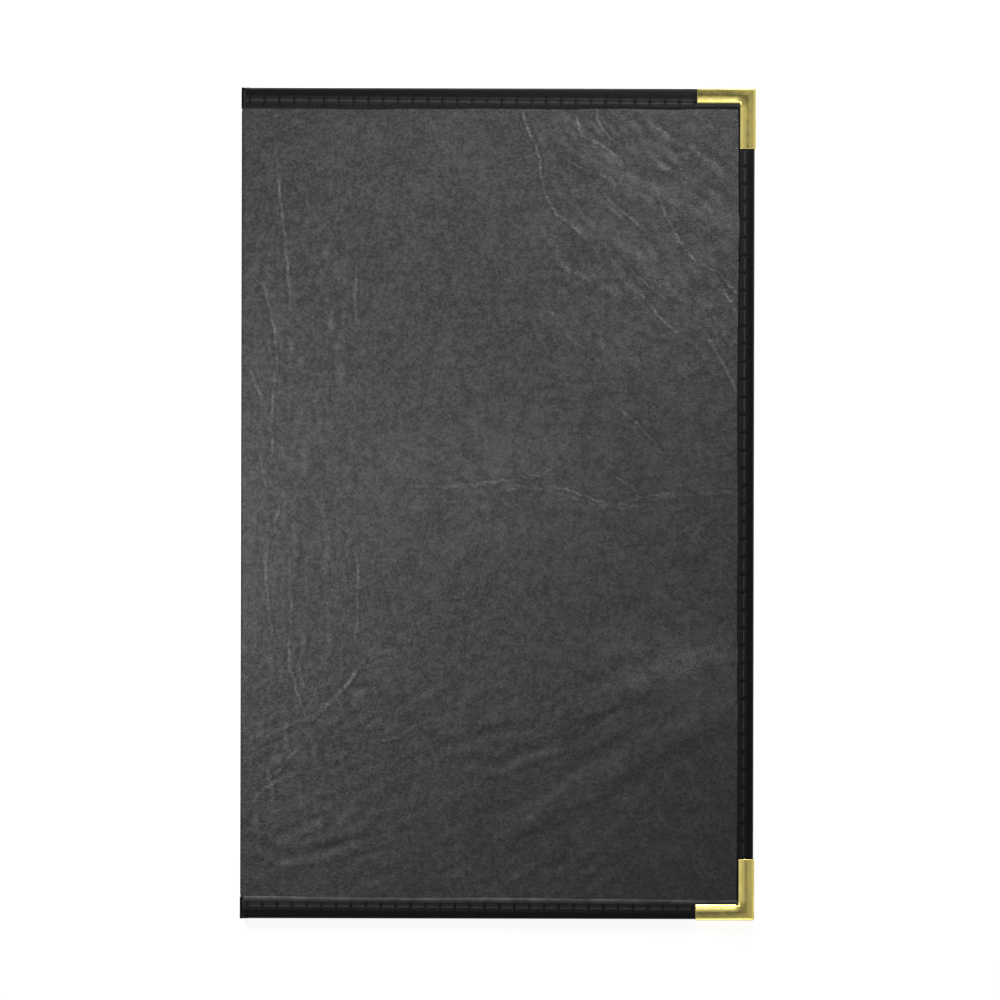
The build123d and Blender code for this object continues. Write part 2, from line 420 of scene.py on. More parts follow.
skinMaterial = makeSkinMaterial()
tapeMaterial = makeTapeMaterial()
threadMaterial = makeThreadMaterial()
brassMaterial = makeBrassMaterial()
liningMaterial = makeClothMaterial("liningCloth")
skinBackMaterial = makeClothMaterial("skinBacking", "restPlace")
boardMaterial = makeBoardMaterial()
pocketMaterial = makePocketMaterial()
print("materials made")


# Skins: one creased sheet for each cover, which runs on round the fold to the middle of the spine

creases = {
    # Hairline creases of the front cover, as points in the cover's own X and Y
    "hairlines": [
        [(10.5, 174.2), (12.4, 168.0), (14.4, 163.0)],
        [(10.9, 173.5), (14.4, 164.0), (18.4, 152.7), (20.2, 140.3), (25.2, 130.1), (34.3, 122.2),
         (37.0, 118.8)],
        [(34.3, 174.2), (37.0, 164.0), (47.8, 158.4), (54.9, 152.6)],
        [(43.3, 175.3), (46.0, 167.4), (51.0, 161.5)],
        [(43.3, 142.6), (53.5, 131.3), (63.6, 123.4), (69.3, 117.7)],
        [(72.7, 133.5), (77.2, 123.4), (84.0, 112.1), (90.8, 105.7)],
        [(95.3, 104.8), (102.1, 98.5), (106.6, 93.5)],
        [(52.3, 109.8), (63.6, 99.6), (74.9, 90.6)],
        [(63.6, 93.5), (71.6, 83.8), (79.9, 75.4)],
        [(53.5, 43.1), (63.6, 34.1), (73.1, 22.8)],
        [(50.1, 13.8), (61.4, 6.3)],
        [(-49.4, 9.2), (-33.5, 7.6), (-20.0, 7.6), (-6.4, 9.2), (7.1, 10.4), (18.4, 12.6), (29.7, 18.3)],
        [(-1.9, 5.4), (11.7, 7.0), (21.8, 5.8), (32.0, 3.1), (46.7, -0.9), (59.1, -1.4), (72.7, 2.5),
         (84.0, 3.1), (107.7, 4.5)],
        [(-98.6, 152.7), (-96.8, 132.4), (-94.1, 107.5), (-92.8, 89.5)],
        [(-104.7, 98.5), (-100.2, 80.4), (-99.1, 60.1), (-100.9, 39.7), (-100.0, 21.7)],
        [(-95.7, 5.8), (-99.5, -10.0), (-103.6, -25.8), (-101.8, -46.1), (-99.5, -62.0)],
        [(-111.0, 60.1), (-104.7, 45.4)],
        [(-62.9, 107.5), (-63.8, 89.5), (-62.0, 78.2)],
        [(-62.9, -22.4), (-62.0, -39.4), (-63.4, -59.7)],
        [(-92.8, -21.3), (-91.8, -48.4), (-92.3, -71.0), (-87.3, -89.1), (-83.3, -99.3)],
        [(-59.5, -69.9), (-66.3, -80.0), (-73.1, -88.0), (-81.0, -94.7), (-84.4, -100.4)],
        [(-50.5, -69.9), (-59.5, -73.3)],
        [(-33.5, -97.0), (-44.8, -104.4), (-55.0, -106.0)],
        [(-108.1, -126.4), (-96.8, -118.5), (-86.7, -107.2)],
        [(-109.0, -133.0), (-101.0, -125.5), (-90.0, -120.5)],
    ],
    # Fainter creases that cross or follow those
    "crossing": [
        [(20.7, 7.2), (30.3, 6.5), (40.0, 2.8), (52.0, -1.0)],
        [(52.0, -1.0), (62.8, 2.4), (73.7, 4.0), (88.1, 4.5), (106.2, 5.7)],
        [(-85.4, -97.2), (-75.8, -88.8), (-66.1, -79.6), (-58.9, -70.7), (-44.4, -63.5)],
        [(27.9, 154.7), (37.5, 148.7), (49.6, 145.1)],
        [(88.1, 108.9), (96.6, 101.7), (106.2, 84.8)],
        [(93.0, 75.2), (99.0, 64.3), (106.2, 49.8)],
        [(-112.0, -112.0), (-102.0, -104.0), (-90.0, -98.0), (-80.0, -96.0)],
    ],
    "valleys": [
        [(-29.0, -104.9), (-15.5, -107.6), (-4.2, -102.6), (11.7, -99.3)],
        [(-15.5, -113.9), (0.4, -116.2), (11.7, -110.6), (25.2, -107.2)],
        [(-112.0, -150.0), (-94.6, -156.9), (-76.5, -154.6), (-60.7, -147.8)],
    ],
    "swells": [
        [(29.7, -95.0), (65.9, -80.0), (108.0, -66.5)],
        [(-1.9, -149.0), (25.2, -135.0), (52.3, -119.0), (77.2, -104.5), (108.0, -91.0)],
        [(30.0, 165.0), (62.0, 138.0), (108.0, 122.0)],
        [(36.0, 122.0), (62.0, 108.0), (95.0, 78.0)],
    ],
    # Wide patches of painted light and, below 0, of painted shade: X, Y, reach in X and in Y, and strength
    "paintedLightPatches": [
        (0, 12, 44, 32, 0.3), (82, 100, 46, 64, 0.27), (81, -70, 36, 18, 0.42), (-88, -142, 30, 26, 0.12),
        (106, -158, 44, 46, -0.16),
    ],
    # Half width and height of each kind
    "sizes": {"hairlines": (0.66, 0.17), "valleys": (2.5, -0.45), "swells": (5.6, 0.7)},
    # How pale each kind is rubbed; the swells' paleness is painted highlight on their broad tops
    "pale": {"hairlines": 1.0, "valleys": 0.0, "swells": 0.15},
    "backShift": 9,                # the back cover's creases are the front one's, turned over and moved
}
wrinkles = [
    # Short wrinkles at random: where they lie, how they run in degrees, their length, how far the middle is
    # off the line and which way, half width, height, lift (below 0 is a dent) and how pale.
    # turned ones are mirrored on the back cover.
    # Towards the head's fore-edge corner
    {"count": 230, "x": (18, 104), "y": (62, 172), "angle": (-62, -28), "length": (4, 15),
     "bend": (-1.5, 1.5), "bendWay": (1, 1), "width": (0.7, 2.0), "height": 0.22, "lift": (-1.0, 1.0),
     "pale": 0.45, "turned": True, "seed": 5},
    # Upright, along the spine side
    {"count": 190, "x": (-110, -66), "y": (-150, 150), "angle": (76, 104), "length": (5, 22),
     "bend": (-1, 1), "bendWay": (1, 0), "width": (0.6, 1.8), "height": 0.17, "lift": (-1.0, 1.0),
     "pale": 0.42, "turned": False, "seed": 9},
    # Soft and slanting, towards the tail
    {"count": 170, "x": (-100, 60), "y": (-168, -84), "angle": (8, 40), "length": (5, 24),
     "bend": (-1.5, 1.5), "bendWay": (0, 1), "width": (0.8, 2.6), "height": 0.21, "lift": (-1.0, 0.8),
     "pale": 0.2, "turned": True, "seed": 13},
    # Puckers all over
    {"count": 260, "x": (-108, 108), "y": (-172, 172), "angle": (0, 180), "length": (2, 8),
     "bend": (-0.8, 0.8), "bendWay": (0, 1), "width": (0.6, 1.6), "height": 0.1, "lift": (-1.0, 0.9),
     "pale": 0.1, "turned": False, "seed": 17},
]
skinMesh = {
    "step": 0.95,
    "cornerRadius": 1.3,
    "underTape": 1.2,
    "spineBulge": 0.42,
    "fade": 6.0,                   # the relief dies away this far inside the edges
    "foldFade": 5.0,
}


def distanceToLine(x, y, line):
    # Shortest distance from each point to the line, and how far along the line it is, 0 to 1
    best = np.full(x.shape, 1e9)
    along = np.zeros(x.shape)
    for index in range(len(line) - 1):
        ax, ay = line[index]
        bx, by = line[index + 1]
        dx, dy = bx - ax, by - ay
        t = np.clip(((x - ax) * dx + (y - ay) * dy) / (dx * dx + dy * dy), 0, 1)
        d = np.hypot(x - ax - t * dx, y - ay - t * dy)
        nearer = d < best
        best = np.where(nearer, d, best)
        along = np.where(nearer, (index + t) / (len(line) - 1), along)
    return best, along


def smoothLine(line, seed, steps=6):
    # A round line through the points, with a little waver
    random = np.random.RandomState(seed)
    points = np.array([line[0]] + list(line) + [line[-1]], dtype=float)
    out = []
    for k in range(1, len(points) - 2):
        for j in range(steps):
            t = j / steps
            a, b, c, d = points[k - 1], points[k], points[k + 1], points[k + 2]
            out.append(0.5 * ((2 * b) + (c - a) * t + (2 * a - 5 * b + 4 * c - d) * t ** 2
                              + (3 * b - a - 3 * c + d) * t ** 3))
    out.append(points[-1])
    out = np.array(out)
    out[1:-1] += random.normal(0, 0.3, out[1:-1].shape)
    return out


def lineFade(along, softness=0.18):
    return np.clip(along / softness, 0, 1) * np.clip((1 - along) / softness, 0, 1)


def addLine(relief, mask, x, y, line, size, seed, strength=1.0, maskStrength=0.0):
    halfWidth, height = size
    points = smoothLine(line, seed)
    reach = 4 * halfWidth
    near = ((x > points[:, 0].min() - reach) & (x < points[:, 0].max() + reach)
            & (y > points[:, 1].min() - reach) & (y < points[:, 1].max() + reach))
    if not near.any():
        return
    distance, along = distanceToLine(x[near], y[near], points)
    fade = 0.35 + 0.65 * lineFade(along)
    ridge = np.exp(-(distance / halfWidth) ** 2)
    foot = np.exp(-((distance - 1.7 * halfWidth) / (0.7 * halfWidth)) ** 2)
    relief[near] += strength * height * fade * (ridge - 0.65 * foot)
    if maskStrength:
        # The rubbed tone comes and goes along the line, and its foot gets painted shade, a little darker
        wear = np.random.RandomState(seed + 300).uniform(0.2, 1.3, len(points))
        rubbedAndPaintedHighlight = np.interp(along, np.linspace(0, 1, len(points)), wear)
        core = np.exp(-(distance / (0.85 * halfWidth)) ** 2)
        mask[near] += maskStrength * fade * (rubbedAndPaintedHighlight * core - 0.34 * foot)


def skinRelief(x, y, side):
    # Height and crease mask of one cover's skin over its own X and Y
    seed = {"front": 11, "back": 47}[side]
    random = np.random.RandomState(seed)
    relief = np.zeros(x.shape)
    mask = np.zeros(x.shape)
    for _ in range(22):                     # slow unevenness of the sheet over the board
        angle = random.uniform(0, math.tau)
        wave = random.uniform(26, 95)
        phase = random.uniform(0, math.tau)
        along = x * math.cos(angle) + y * math.sin(angle)
        relief += 0.0035 * wave / 26 * np.sin(along * math.tau / wave + phase)
    flip = 1 if side == "front" else -1     # the back cover's creases run the other way
    shift = 0 if side == "front" else creases["backShift"]
    for kind, size in creases["sizes"].items():
        for number, line in enumerate(creases[kind]):
            turned = [(px, flip * py + shift) for px, py in line]
            strength = random.uniform(0.7, 1.15)
            pale = creases["pale"][kind] * strength
            addLine(relief, mask, x, y, turned, size, seed + number, strength, pale)
    for number, line in enumerate(creases["crossing"]):
        turned = [(px, flip * py) for px, py in line]
        addLine(relief, mask, x, y, turned, creases["sizes"]["hairlines"], seed + 60 + number, 0.9, 0.9)
    for kind in wrinkles:
        for _ in range(kind["count"]):
            cx, cy = random.uniform(*kind["x"]), random.uniform(*kind["y"])
            angle = math.radians(random.uniform(*kind["angle"]))
            half = random.uniform(*kind["length"]) / 2
            bend = random.uniform(*kind["bend"])
            across, up = math.cos(angle) * half, math.sin(angle) * half
            middle = (cx + bend * kind["bendWay"][0], cy + bend * kind["bendWay"][1])
            line = [(cx - across, cy - up), middle, (cx + across, cy + up)]
            if kind["turned"]:
                line = [(px, flip * py) for px, py in line]
            size = (random.uniform(*kind["width"]), kind["height"])
            lift, pale = random.uniform(*kind["lift"]), random.uniform(0, kind["pale"])
            addLine(relief, mask, x, y, line, size, seed + kind["seed"], lift, pale)
    # Painted light and painted shade: wide patches that make the skin paler or darker
    for px, py, reachX, reachY, paler in creases["paintedLightPatches"]:
        mask += paler * np.exp(-((x - px) / reachX) ** 2 - ((y - flip * py) / reachY) ** 2)
    return relief, mask


def skinRows():
    # X, height and normal along the outer face, from the fore-edge round the fold to the spine's middle
    radius = skinMesh["cornerRadius"]
    cornerX = spineLow[0] + radius
    flatEnd = stackEdge - sideTapeWidth + skinMesh["underTape"]
    count = round((flatEnd - cornerX) / skinMesh["step"])
    rows = [(stackEdge, skinHeight, 0.0, 1.0)]
    rows += [(px, skinHeight, 0.0, 1.0) for px in np.linspace(flatEnd, cornerX, count + 1)]
    for step in range(1, 7):
        angle = math.radians(15 * step)
        rows.append((cornerX - radius * math.sin(angle), skinHeight - radius + radius * math.cos(angle),
                     -math.sin(angle), math.cos(angle)))
    for height in np.linspace(skinHeight - radius, 0, 4)[1:]:
        rows.append((spineLow[0], height, -1.0, 0.0))
    return rows


def skinInnerRows():
    inner = skinHeight - skinThickness
    insideX = spineHigh[0]
    return [(stackEdge, inner), (foldX + 4.5, inner), (foldX + 3.0, inner), (foldX + 2.0, inner),
            (foldX + 1.2, inner), (insideX + 0.15, inner - 0.15), (insideX, foldHeight - 1.2),
            (insideX, foldHeight - 2.0), (insideX, foldHeight - 3.0), (insideX, 0.0)]


def makeSkin(side):
    sign = outward[side]
    rows = skinRows()
    innerHead = headFace - headTapeWidth + skinMesh["underTape"]
    count = round(2 * innerHead / skinMesh["step"])
    columns = np.concatenate(([-stackHead], np.linspace(-innerHead, innerHead, count + 1), [stackHead]))
    rowArray = np.array(rows)
    x = np.repeat(rowArray[:, 0][:, None], len(columns), 1)
    height = np.repeat(rowArray[:, 1][:, None], len(columns), 1)
    y = np.repeat(columns[None, :], len(rows), 0)
    relief, mask = skinRelief(x, y, side)
    edgeFade = np.clip((stackHead + 1.0 - np.abs(y)) / skinMesh["fade"], 0, 1)
    edgeFade *= np.clip((stackEdge + 1.0 - x) / skinMesh["fade"], 0, 1)
    edgeFade *= np.clip((x - spineLow[0] - 0.8) / skinMesh["foldFade"], 0, 1)
    relief *= edgeFade
    mask *= edgeFade
    bulge = skinMesh["spineBulge"] * np.clip((innerHead - np.abs(y)) / 3.0, 0, 1)
    bulge = bulge * (rowArray[:, 2] ** 2)[:, None]
    height = height + relief * rowArray[:, 3][:, None]
    x = x + relief * rowArray[:, 2][:, None] - bulge
    points = np.stack([x, y, closing + sign * height], axis=-1).reshape(-1, 3)
    width = len(columns)
    faces = []
    for row in range(len(rows) - 1):
        base = row * width
        faces += [(base + c, base + c + 1, base + width + c + 1, base + width + c) for c in range(width - 1)]
    flatFrom = len(faces)
    innerRows = skinInnerRows()
    start = len(points)
    innerPoints = []
    for px, level in innerRows:
        innerPoints += [(px, -stackHead, closing + sign * level), (px, stackHead, closing + sign * level)]
    points = np.concatenate([points, np.array(innerPoints)])
    last = len(innerRows) - 1
    for row in range(last):
        base = start + 2 * row
        faces.append((base, base + 2, base + 3, base + 1))
    clothUntil = len(faces)
    tailInner = [start + 2 * row for row in range(last, -1, -1)]
    headInner = [start + 2 * row + 1 for row in range(last, -1, -1)]
    faces.append([row * width for row in range(len(rows))] + tailInner)
    faces.append([row * width + width - 1 for row in range(len(rows))] + headInner)
    faces.append(list(range(width)) + [start + 1, start])
    spineRow = (len(rows) - 1) * width
    faces.append([spineRow + c for c in range(width)] + [start + 2 * last + 1, start + 2 * last])
    slots = np.zeros(len(faces), dtype=np.int32)
    slots[flatFrom:clothUntil] = 1
    piece = newPiece(f"{side}CoverSkin", points, faces, [skinMaterial, skinBackMaterial], flatFrom, slots)
    addMask(piece, "creaseWearAndPaintedLight", np.concatenate([mask.reshape(-1), np.zeros(len(innerPoints))]))
    faceOutwards(piece, joined=False)
    keepRestPlace(piece)
    return piece


frontSkin = makeSkin("front")
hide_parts("front_skin", "spine_skin")
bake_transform(frontSkin)
backSkin = makeSkin("back")
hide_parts("back_skin")
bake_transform(backSkin)
print("skins made")


# Brass corners' sizes, which the tapes under them need too

brassShape = {
    "leg": brassHigh[0] - brassLow[0],
    "shorter": 1.2,           # the legs along the head and tail are this much shorter in the photograph
    "width": 7.0,
    "thickness": 0.45,
    "point": 1.0,
    "flat": 3.8,              # from the outer edge in to where the bevel starts
    "lean": {"head": 0.0, "turn": 0.03, "side": 0.057},     # slope of the flat, down towards the outside
}


# Edge tape: a folded strip whose turned-in hem stands up as a rib, pinched down at each needle hole

tapeShape = {
    "step": 0.55,
    "thickness": 0.42,
    "foldBare": 3.0,          # beside the fold the tape holds the skin alone
    "foldStart": 0.95,
    "bare": 1.0,              # both leaves of the tape there
    "pinch": 0.5,             # how deep a needle hole pulls the rib down
    "pinchLength": 0.5,
    "pinchReach": 2.3,
    "rubbedAndPaintedHighlight": 0.95,           # the fold's outermost stretch, worn paler and given a painted highlight
    "paintedHemHighlight": {"head": 0.1, "fore_edge": 0.0, "tail": 1.1},     # painted highlight at each tape's inner edge, strongest at the tail where the hem faces the light
    "hemReach": 2.3,
    "paintedRibHighlight": {"head": 0.65, "fore_edge": 0.4, "tail": 1.0},     # painted highlight on the rib between needle holes, strongest at the tail
    "hemSlope": {"head": 1.0, "fore_edge": 0.35, "tail": 1.0},   # share of the hem that slopes down
    "underBrass": 0.05,       # a tape lies flat under the brass
}
seams = {
    # Each seam starts and stops as its stitching node does, and the pitch is fitted to that length.
    # inset is at the cover's middle, and slant and hemSlant say how far seam and hem drift in each millimetre
    "head": {"inset": 6.3, "slant": 0.0072, "hemSlant": 0.0, "pitch": 6.6, "gap": 0.9},
    "tail": {"inset": 4.95, "slant": -0.0063, "hemSlant": -0.006, "pitch": 6.6, "gap": 0.9},
    "fore_edge": {"inset": 4.5, "slant": 0.0, "hemSlant": 0.0, "pitch": 7.9, "gap": 0.9},
}


def insetAt(seam, along):
    return seam["inset"] + seam["slant"] * along


def ribProfile(width, seam, slope):
    # Outer half of the section: distance in from the edge, depth below the tape's face, how much it pinches
    hem = (width - seam - 0.8) * slope
    return [
        (width - 0.1, 0.66, 0.0), (width, 0.5, 0.0), (width - 0.18 * hem, 0.37, 0.0),
        (width - 0.42 * hem, 0.21, 0.1), (width - 0.68 * hem, 0.05, 0.4), (width - 0.88 * hem, -0.04, 0.7),
        (seam + 0.8, -0.15, 1.0),
        (seam + 0.45, -0.1, 1.0), (seam + 0.2, 0.0, 1.0), (seam - 0.2, 0.0, 1.0), (seam - 0.5, -0.07, 0.9),
        (seam - 0.9, -0.1, 0.6), (seam - 1.35, -0.03, 0.5), (seam - 1.75, 0.08, 0.4), (seam - 2.1, 0.17, 0.2),
        (seam - 2.6, 0.22, 0.0),
        (1.35, 0.2, 0.0), (0.95, 0.3, 0.0), (0.55, 0.56, 0.0), (0.24, 0.96, 0.0), (0.07, 1.42, 0.0),
    ]


def seamHoles(side, edge):
    # The places of a seam's needle holes, fitted to its stitching node, and the step between them
    low, high = cornersOf(f"{side}_{edge}_stitching")
    axis = 1 if edge == "fore_edge" else 0
    gap = seams[edge]["gap"]
    length = high[axis] - low[axis] + gap
    count = round(length / seams[edge]["pitch"])
    step = length / count
    return [low[axis] - gap / 2 + step * k for k in range(count + 1)], step


def pinchAt(along, holes, seed):
    depth = np.zeros(len(along))
    random = np.random.RandomState(seed)
    for hole in holes:
        depth += random.uniform(0.8, 1.15) * np.exp(-((along - hole) / tapeShape["pinchLength"]) ** 2)
    return np.clip(depth, 0, 1.2)


def makeTape(name, side, edge, places, depths, toPoint, width, brassStart, seed):
    # A station stands at each place along the edge, and depths gives the tape's full height there
    twoEnded = edge == "fore_edge"                     # that tape has brass at both of its ends
    seam = seams[edge]
    worn, paintedRibHighlight = tapeShape["paintedHemHighlight"][edge], tapeShape["paintedRibHighlight"][edge]
    thickness = tapeShape["thickness"]
    pinch = pinchAt(np.array(places), seamHoles(side, edge)[0], seed)
    random = np.random.RandomState(seed + 1)
    sway = np.cumsum(random.normal(0, 0.03, len(places)))
    sway = np.convolve(sway - np.linspace(sway[0], sway[-1], len(sway)), np.ones(25) / 25, mode="same")
    points, rim, puff = [], [], []
    for index, (along, full) in enumerate(zip(places, depths)):
        highest = tapeShape["underBrass"] if max(along, -along * twoEnded) > brassStart else -1.0
        section, ribLightShare = [], []
        inset, hem = insetAt(seam, along), width + seam["hemSlant"] * along
        for inward, depth, weight in ribProfile(hem, inset, tapeShape["hemSlope"][edge]):
            near = math.exp(-((inward - inset) / tapeShape["pinchReach"]) ** 2)
            pulled = depth + weight * near * pinch[index] * tapeShape["pinch"]
            wander = sway[index] * min(1.0, inward / width) if inward > inset else 0.0
            if inward < brassShape["width"] + 0.8:
                pulled = max(pulled, highest)
            section.append((inward + wander, min(pulled, full / 2)))
            ribLightShare.append(paintedRibHighlight * weight * max(0.0, 1 - pinch[index]) if weight > 0.3 else 0.0)
        section.append((0.0, full / 2))
        ribLightShare += [0.0] + ribLightShare[::-1]
        section += [(inward, full - depth) for inward, depth in reversed(section[:-1])]
        inside = min(0.9, full / 2 - 0.05)
        section += [(hem - 0.4, full - thickness - 0.1), (inside, full - thickness - 0.1),
                    (thickness, full - inside), (thickness, inside), (inside, thickness + 0.1),
                    (hem - 0.4, thickness + 0.1)]
        points += [toPoint(along, inward, depth) for inward, depth in section]
        for inward, depth in section:
            # Painted highlight at the hem, where the tail tape's inner edge faces the light
            paintedHemLight = worn * (1 - (hem - inward) / tapeShape["hemReach"])
            rim.append(max(1 - inward / tapeShape["rubbedAndPaintedHighlight"], paintedHemLight, 0.0))
        puff += ribLightShare + [0.0] * (len(section) - len(ribLightShare))
    faces = tubeFaces(len(places), len(section))
    piece = newPiece(name, points, faces, [tapeMaterial], len(faces) - 2)
    addMask(piece, "rim", rim)
    addMask(piece, "puff", puff)
    faceOutwards(piece)
    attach(piece, f"{side}_cover")
    return piece


fullDepth = tapeHeight - tapeInner


def endTape(side, end, seed):
    sign = outward[side]
    direction = 1 if end == "head" else -1
    first = foldX + tapeShape["foldStart"]
    board = foldX + tapeShape["foldBare"]
    near = list(np.linspace(first, board - 0.02, 6)) + [board]
    step = tapeShape["step"]
    places = near + list(np.arange(board + step, foreEdge - 0.1, step)) + [foreEdge - 0.05]
    bare = skinThickness + tapeShape["bare"]
    depths = [fullDepth if place >= board - 0.01 else bare for place in places]

    def toPoint(along, inward, depth):
        return (along, direction * (headFace - inward), closing + sign * (tapeHeight - depth))

    piece = makeTape(f"{side}{end.capitalize()}Binding", side, end, places, depths, toPoint, headTapeWidth,
                     brassLow[0] + 1.0, seed)
    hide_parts(f"{side}_{end}_tape")


def foreEdgeTape(side, seed):
    sign = outward[side]
    reach = headFace - headTapeWidth + 0.7
    count = round(2 * reach / tapeShape["step"])
    places = list(np.linspace(-reach, reach, count + 1))

    def toPoint(along, inward, depth):
        return (foreEdge - inward, along, closing + sign * (tapeHeight - depth))

    piece = makeTape(f"{side}ForeEdgeBinding", side, "fore_edge", places, [fullDepth] * len(places), toPoint,
                     sideTapeWidth, brassLow[1] - 0.2, seed)
    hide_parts(f"{side}_fore_edge_tape")


for number, side in enumerate(("front", "back")):
    for end in ("head", "tail"):
        endTape(side, end, 20 + 3 * number + (end == "tail"))
    foreEdgeTape(side, 40 + number)
print("edge tapes made")


# Stitches: two-ply thread, each run dipping into its needle holes

stitchShape = {
    "radius": 0.4,
    "sides": 10,
    "rings": 15,
    "twist": 2.6,
    "ply": 0.13,              # how far the two plies stand out
    "dip": 0.32,              # how deep an end goes into its needle hole
    "inHole": 0.12,           # how far an end reaches into the gap at the hole
    "lift": {"head": 0.06, "fore_edge": -0.16, "tail": 0.1},     # the thread's middle above the tape's face
}


def makeStitches(name, side, node, runs, toPoint, lift):
    points, faces = [], []
    sides, rings = stitchShape["sides"], stitchShape["rings"]
    for begin, end, seed in runs:
        random = np.random.RandomState(seed)
        slant = random.uniform(-0.08, 0.08)
        length = end - begin
        base = len(points)
        for ring in range(rings):
            t = ring / (rings - 1)
            taper = math.sin(math.pi * min(max(t, 0.03), 0.97)) ** 0.35
            level = lift - stitchShape["dip"] * (2 * t - 1) ** 6
            radius = stitchShape["radius"] * (0.45 + 0.55 * taper)
            for corner in range(sides):
                angle = math.tau * corner / sides
                ply = 1 + stitchShape["ply"] * math.cos(2 * (angle - stitchShape["twist"] * t * length / 2))
                across = slant * (2 * t - 1) + radius * ply * math.cos(angle)
                rise = level + radius * 0.85 * ply * math.sin(angle)
                points.append(toPoint(begin + length * t, across, rise))
        faces += tubeFaces(rings, sides, base)
    piece = newPiece(name, points, faces, [threadMaterial])
    faceOutwards(piece)
    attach(piece, f"{side}_cover")
    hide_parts(node)


def stitchSeam(side, edge, seed):
    sign = outward[side]
    node = f"{side}_{edge}_stitching"
    along = edge == "fore_edge"
    seam = seams[edge]
    holes, step = seamHoles(side, edge)
    trim = seam["gap"] / 2 - stitchShape["inHole"]
    direction = -1 if edge == "tail" else 1
    label = "".join(word.capitalize() for word in edge.split("_"))
    for word, leaf, surface, later in (("Outer", 1, tapeHeight, 0), ("Inner", -1, tapeInner, 500)):

        def toPoint(place, across, level, leaf=leaf, surface=surface):
            height = closing + sign * (surface + leaf * level)
            if along:
                return (foreEdge - insetAt(seam, place) - across, place, height)
            return (place, direction * (headFace - insetAt(seam, place) - across), height)

        runs = [(hole + trim, hole + step - trim, seed + later + k) for k, hole in enumerate(holes[:-1])]
        makeStitches(f"{side}{label}{word}Stitches", side, node, runs, toPoint, stitchShape["lift"][edge])


for number, side in enumerate(("front", "back")):
    for place, edge in enumerate(("head", "fore_edge", "tail")):
        stitchSeam(side, edge, 1000 * (number + 1) + 100 * place)
print("stitches made")


# Brass corners: sheet folded over both edges, with a bevelled inner edge and a small round point

def brassSection(width, full, thickness, lean):
    # A flat that leans down towards the outside, and a broad bevel down to the inner edge
    outer = [
        (width, 0.54), (width - 0.04, 0.448), (width - 0.8, 0.326), (width - 1.6, 0.21), (width - 2.4, 0.11),
        (width - 3.2, 0.03), (width - 3.5, 0.009), (width - 3.8, 0.0), (1.4, 0.0), (0.8, 0.005), (0.5, 0.03),
        (0.3, 0.09), (0.15, 0.22), (0.06, 0.42), (0.015, 0.7), (0.0, 1.0),
    ]
    flat = brassShape["flat"]
    outer = [(a, b + lean * max(flat - a, 0)) for a, b in outer[:-2]] + outer[-2:]
    outer += [(0.0, full / 2)] + [(a, full - b) for a, b in reversed(outer)]
    inner = [(width - 0.05, full - thickness), (1.0, full - thickness), (thickness, full - 1.0),
             (thickness, 1.0), (1.0, thickness), (width - 0.05, thickness)]
    return outer + inner


def makeBrassCorner(side, end):
    sign = outward[side]
    direction = 1 if end == "head" else -1
    cornerX, cornerY = brassHigh[0], brassHigh[1]
    full = brassHeight - brassInner
    sections = {kind: brassSection(brassShape["width"], full, brassShape["thickness"], lean)
                for kind, lean in brassShape["lean"].items()}
    leg, point = brassShape["leg"], brassShape["point"]
    along = leg - brassShape["shorter"]
    stations = [("head", along), ("head", along - 0.15), ("head", leg * 0.66), ("head", leg * 0.33)]
    stations += [("turn", angle) for angle in (0, 15, 30, 45, 60, 75, 90)]
    stations += [("side", leg * 0.33), ("side", leg * 0.66), ("side", leg - 0.15), ("side", leg)]
    points = []
    for kind, value in stations:
        section = sections[kind]
        for inward, depth in section:
            if kind == "head":
                x, y = cornerX - max(value, inward), cornerY - inward
            elif kind == "side":
                x, y = cornerX - inward, cornerY - max(value, inward)
            else:
                reach = max(point - inward, 0.0)
                centre = max(point, inward)
                angle = math.radians(value)
                x = cornerX - centre + reach * math.sin(angle)
                y = cornerY - centre + reach * math.cos(angle)
            points.append((x, direction * y, closing + sign * (brassHeight - depth)))
    faces = tubeFaces(len(stations), len(section))
    piece = newPiece(f"{side}{end.capitalize()}BrassCorner", points, faces, [brassMaterial], len(faces) - 2)
    faceOutwards(piece)
    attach(piece, f"{side}_cover")
    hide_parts(f"{side}_{end}_corner")


for side in ("front", "back"):
    for end in ("head", "tail"):
        makeBrassCorner(side, end)
print("brass corners made")


# The nodes that keep their own shape get their finish

def finishNode(node, material):
    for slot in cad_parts[node].material_slots:
        slot.material = material


for side in ("front", "back"):
    finishNode(f"{side}_board", boardMaterial)
    finishNode(f"{side}_lining", liningMaterial)
    finishNode(f"{side}_pocket", pocketMaterial)
finishNode("spine_strip", boardMaterial)
finishNode("spine_lining", liningMaterial)
for end in ("head", "tail"):
    finishNode(f"spine_{end}_tape", tapeMaterial)


# Stage: a white floor that keeps a faint shadow, and a white surround

stage = {
    "floorSize": 6.0,
    "floorGlow": 0.93,
    "floorColour": 0.32,
    "overhead": 0.06,         # seen in the brass straight above
    "around": 1.02,
    "overheadEdge": 0.015,    # radians from straight up where the dome starts and stops getting brighter
    "aroundEdge": 0.36,
    "bands": 1.7,             # brighter bands towards the head and the tail
    "bandsLast": 0.5,         # radians from straight up where they start to end, and where they are over
    "bandsOver": 0.62,
    "bandStart": 0.12,        # share of the way to the side where a band sets in, and where it is full
    "bandEnd": 0.22,
    "fill": 0.045,            # what the surround gives to matt surfaces
}


